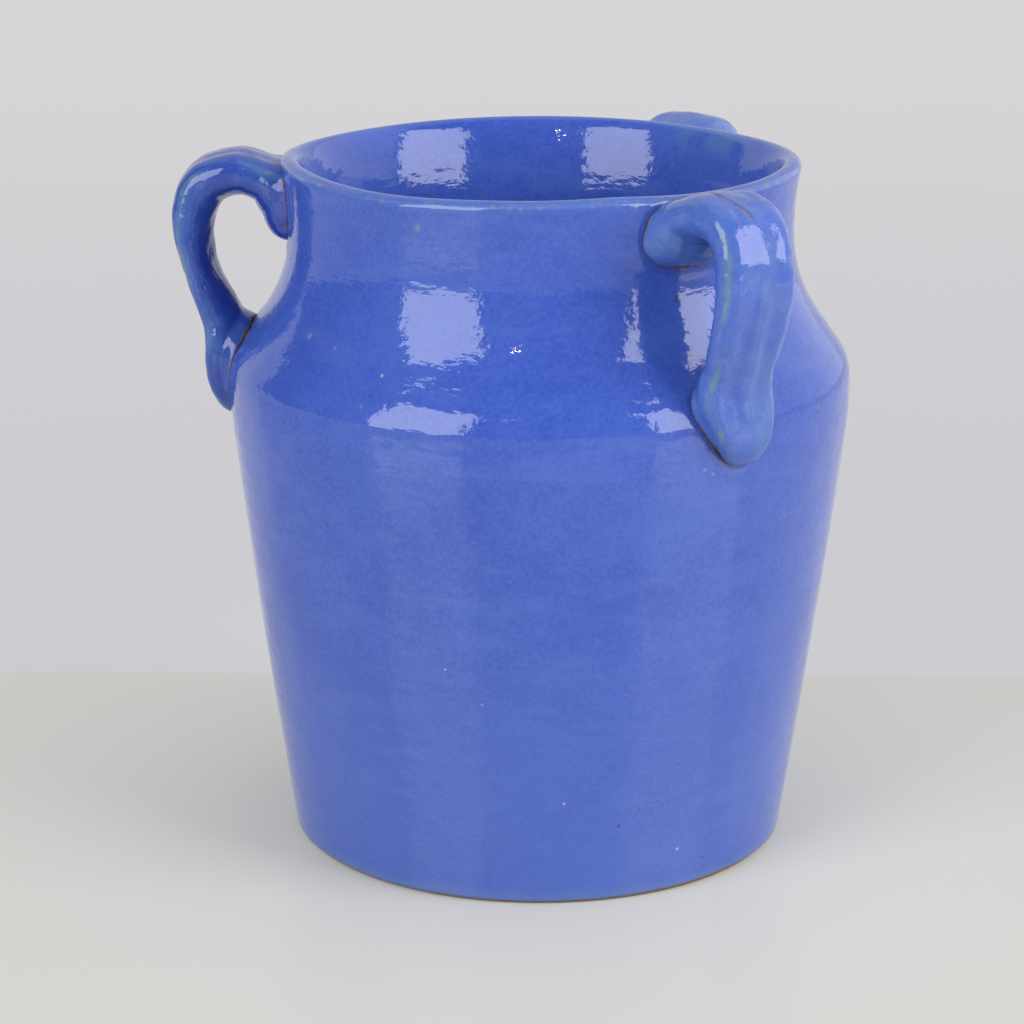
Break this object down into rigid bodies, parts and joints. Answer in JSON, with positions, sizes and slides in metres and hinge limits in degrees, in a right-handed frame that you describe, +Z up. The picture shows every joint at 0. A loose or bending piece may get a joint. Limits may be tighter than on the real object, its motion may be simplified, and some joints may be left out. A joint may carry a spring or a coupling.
{
  "type": "vase",
  "caption": "Wheel-thrown blue-glazed vase with a straight tapering wall, rounded ridge, short neck, rounded lip and grooved strap handles joined from neck to ridge.",
  "frame": {"origin": "centre of the flat base, on the surface that the vase stands on", "axes": "+Z up along the axis that the pot was thrown on; one handle points nearly along -X; -Y is the side that faces the camera"},
  "size_m": [0.1953, 0.1863, 0.2021],
  "materials": {
    "blue_glaze": "gloss",
    "handle_glaze": "gloss",
    "slip_seam": "satin"
  },
  "bodies": {
    "root": {"vase_body": "blue_glaze", "handle_left": "handle_glaze", "luting_slip_left_upper": "slip_seam", "luting_slip_left_lower": "slip_seam", "handle_right": "handle_glaze", "luting_slip_right_upper": "slip_seam", "luting_slip_right_lower": "slip_seam", "handle_back": "handle_glaze", "luting_slip_back_upper": "slip_seam", "luting_slip_back_lower": "slip_seam"}
  },
  "joints": []
}
